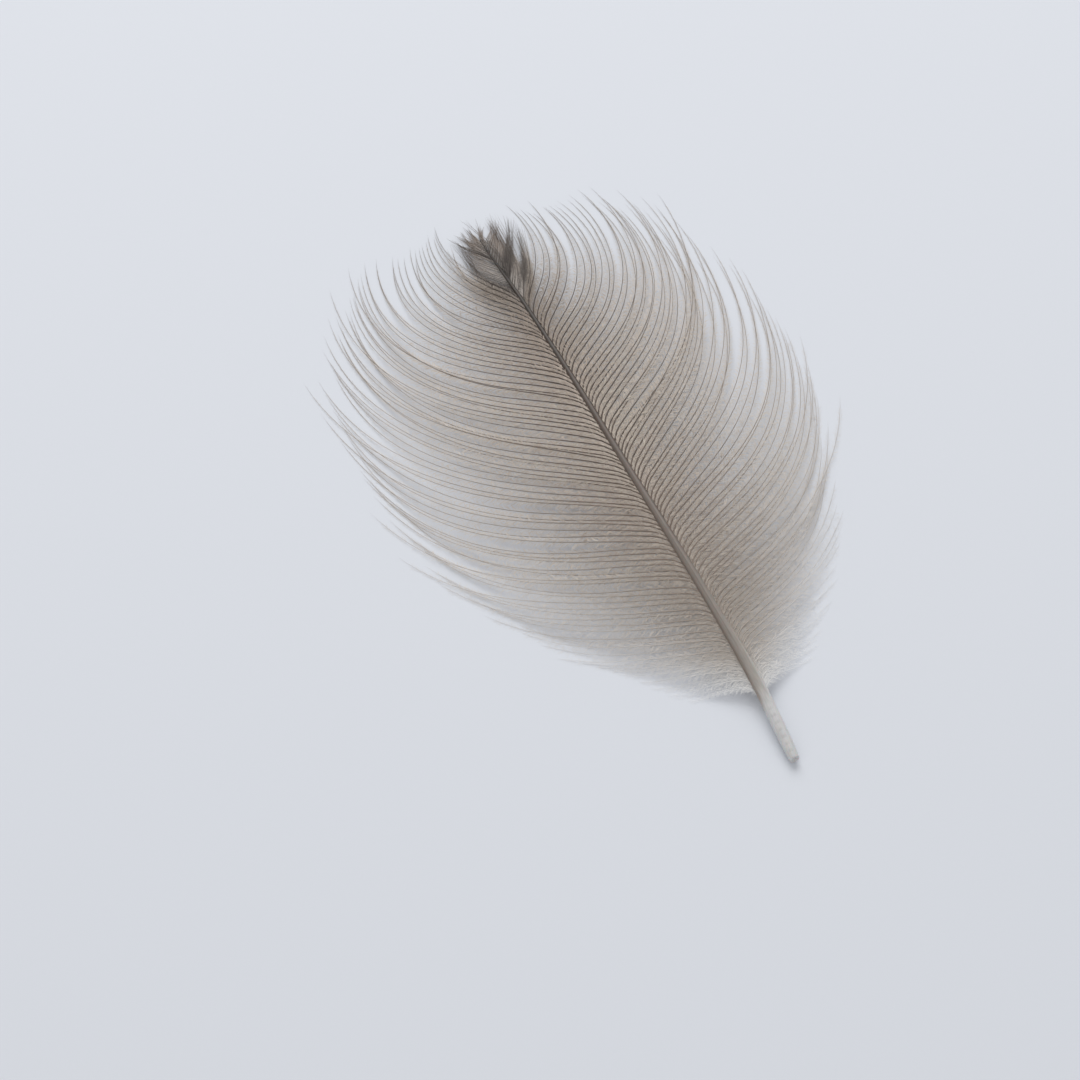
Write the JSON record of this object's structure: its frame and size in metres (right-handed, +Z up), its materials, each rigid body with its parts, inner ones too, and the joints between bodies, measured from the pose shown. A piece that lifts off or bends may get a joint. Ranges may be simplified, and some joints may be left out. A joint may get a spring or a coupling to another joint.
{
  "type": "cul de canard feather",
  "caption": "Loose soft duck feather lying flat: a bare pale quill end, an arched tapering shaft and two open vanes of long curved barbs with a dark closed tip.",
  "frame": {"origin": "on the surface the feather lies on, under the middle of its outline", "axes": "+Y along the shaft from the bare quill end to the tip, +Z up through the feather's upper side, +X to the right vane"},
  "size_m": [0.0348, 0.0534, 0.0025],
  "materials": {
    "vane": "matte",
    "shaft": "satin",
    "down": "matte"
  },
  "bodies": {
    "root": {"feather": "vane"}
  },
  "joints": []
}
